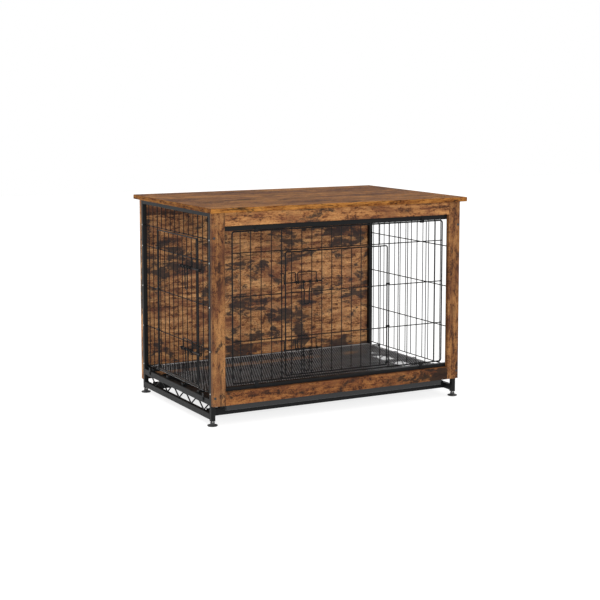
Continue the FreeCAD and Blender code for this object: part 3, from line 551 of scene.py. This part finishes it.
def build_wire_welds(node_name, body, material):
    """A small weld nugget wherever an upright meets a level wire."""
    shortest_wire = 20 * MM
    near = 4.5 * MM
    farthest_off = 1.6 * MM
    nugget_long = 2.3 * MM
    nugget_deep = 1.9 * MM
    boxes = islands(nodes[node_name])
    uprights = []
    levels = []
    for low, high in boxes:
        size = high - low
        if size.z > shortest_wire and size.z > 5 * max(size.x, size.y):
            uprights.append((low, high))
        elif max(size.x, size.y) > shortest_wire and max(size.x, size.y) > 5 * size.z:
            levels.append((low, high))
    work = bmesh.new()
    for up_low, up_high in uprights:
        for level_low, level_high in levels:
            run = 0 if level_high.x - level_low.x > level_high.y - level_low.y else 1
            cross = 1 - run
            along = (up_low[run] + up_high[run]) / 2
            level = (level_low.z + level_high.z) / 2
            gap = (up_low[cross] + up_high[cross] - level_low[cross] - level_high[cross]) / 2
            inside = level_low[run] - near < along < level_high[run] + near
            if inside and up_low.z - near < level < up_high.z + near and abs(gap) < near:
                centre = Vector((0, 0, level))
                centre[run] = along
                upright_middle = (up_low[cross] + up_high[cross]) / 2
                centre[cross] = upright_middle - math.copysign(min(abs(gap), farthest_off), gap)
                scale = [nugget_long] * 3
                scale[cross] = nugget_deep
                add_bead(work, centre, scale)
    if work.verts:
        finish_piece(f"{node_name}_welds", work, body, material)
    else:
        work.free()


def build_tube_welds(material):
    """Rippled weld beads round the ends of the rails, where they run into the posts."""
    work = bmesh.new()
    ripple = 1.1 * MM
    for name in nodes:
        if not name.endswith(("_rail", "_beam")) or name in BOARDS:
            continue
        low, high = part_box(name)
        run = 0 if high.x - low.x > high.y - low.y else 1
        cross = 1 - run
        inner = high[cross] if low[cross] < 0 else low[cross]
        outer = low[cross] if low[cross] < 0 else high[cross]
        for end in (low[run], high[run]):
            corners = []
            inward = 0.4 * MM if end < 0 else -0.4 * MM
            for across, level in ((outer, low.z), (inner, low.z), (inner, high.z), (outer, high.z)):
                corner = Vector((0, 0, level))
                corner[run] = end + inward
                pull = 1.2 * MM if across == outer else 0
                corner[cross] = across + (pull if outer < inner else -pull)
                corners.append(corner)
            points = []
            radii = []
            for start, finish in zip(corners, corners[1:]):
                count = max(int((finish - start).length / ripple), 3)
                for index in range(count):
                    points.append(start.lerp(finish, index / count))
                    radii.append((1.25 if index % 2 else 0.95) * MM)
            points.append(corners[-1])
            radii.append(1.0 * MM)
            add_tube(work, points, radii)
    finish_piece("rail_weld_beads", work, "crate", material)


# ---------------------------------------------------------------- screws and rivets

def add_screw_head(work, base, away, radius, tall):
    """A domed pan head with a six-sided socket sunk in it."""
    dome = ((1.0, 0.0), (1.0, 0.35), (0.93, 0.62), (0.76, 0.86), (0.56, 0.98), (0.50, 1.0))
    socket = ((0.46, 1.0), (0.46, 0.45))

    def sized(outline):
        return [(radius * share, tall * height) for share, height in outline]

    def six_sided(angle):
        return math.cos(math.pi / 6) / math.cos((angle % (math.pi / 3)) - math.pi / 6)

    rings = spin(work, base, away, sized(dome), 24) + spin(work, base, away, sized(socket), 24, six_sided)
    close_over(work, rings)


def build_screws(material):
    """Shows the frame screws with domed, socketed heads in place of the plain CAD ones."""
    head_r = 4.2 * MM
    head_tall = 1.8 * MM
    shank_r = 2.15 * MM
    point_r = 0.8 * MM
    work = bmesh.new()
    for low, high in islands(nodes["frame_screws"]):
        size = high - low
        run = max(range(3), key=lambda axis: size[axis])
        middle = (low + high) / 2
        away = Vector((0, 0, 0))
        outside = high[run] if run == 1 and middle[run] > 0 else low[run]
        away[run] = 1 if outside == high[run] else -1
        tip = middle.copy()
        tip[run] = low[run] if away[run] > 0 else high[run]
        seat = middle.copy()
        seat[run] = outside - away[run] * head_tall
        add_tube(work, [tip, tip + away * 3 * MM, seat + away * 0.2 * MM],
                 [point_r, shank_r, shank_r], sides=14)
        add_screw_head(work, seat, away, head_r, head_tall)
    piece = finish_piece("frame_screws_shown", work, "crate", material, smooth=False)
    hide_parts("frame_screws")


def add_dome(work, base, away, radius, tall):
    outline = ((1.0, -0.1), (0.97, 0.3), (0.80, 0.7), (0.45, 0.95))
    close_over(work, spin(work, base, away, [(radius * share, tall * height) for share, height in outline], 16))


def build_post_rivets(material):
    """Low domed rivets on the posts' outer faces, one at each level wire of the side panels."""
    rivet_r = 2.6 * MM
    rivet_tall = 0.9 * MM
    work = bmesh.new()
    for side in ("left", "right"):
        panel = islands(nodes[f"{side}_panel"])
        heights = sorted({
            round((low.z + high.z) / 2, 4) for low, high in panel
            if high.y - low.y > 0.03 and high.z - low.z < 0.006
        })
        for end in ("front", "rear"):
            low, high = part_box(f"{end}_{side}_post")
            face = low.x if side == "left" else high.x
            away = Vector((-1 if side == "left" else 1, 0, 0))
            for height in heights:
                base = Vector((face, (low.y + high.y) / 2, height))
                add_dome(work, base, away, rivet_r, rivet_tall)
    finish_piece("post_rivets", work, "crate", material)


# ---------------------------------------------------------------- the stage

def build_stage():
    """A pale floor that gives off a little light of its own, so that the ground stays near white."""
    work = bmesh.new()
    bmesh.ops.create_grid(work, x_segments=1, y_segments=1, size=9.0)
    mesh = bpy.data.meshes.new("studio_floor")
    work.to_mesh(mesh)
    work.free()
    floor = bpy.data.objects.new("studio_floor", mesh)
    bpy.context.scene.collection.objects.link(floor)
    g = Graph("studio_floor_finish")
    haze = g.noise(g.place, scale=1.5, detail=2)
    g.base(Base_Color=g.mix(haze, (0.34, 0.34, 0.34), (0.36, 0.36, 0.36)), Roughness=0.9)
    g.shader.inputs["Emission Color"].default_value = (1, 1, 1, 1)
    g.shader.inputs["Emission Strength"].default_value = 0.78
    g.shader.inputs["Specular IOR Level"].default_value = 0.1
    dress(floor, g.material)


set_camera()
set_light()
build_stage()
finishes = dress_nodes()
build_floor_mesh()
for panel_name, panel_body in (
    ("front_panel", "crate"), ("left_panel", "crate"), ("right_panel", "crate"),
    ("front_door", "front_door"), ("left_door", "left_door"),
):
    build_wire_welds(panel_name, panel_body, finishes["wire_coat"])
build_tube_welds(finishes["frame_coat"])
build_screws(finishes["screw_steel"])
build_post_rivets(finishes["zinc_steel"])
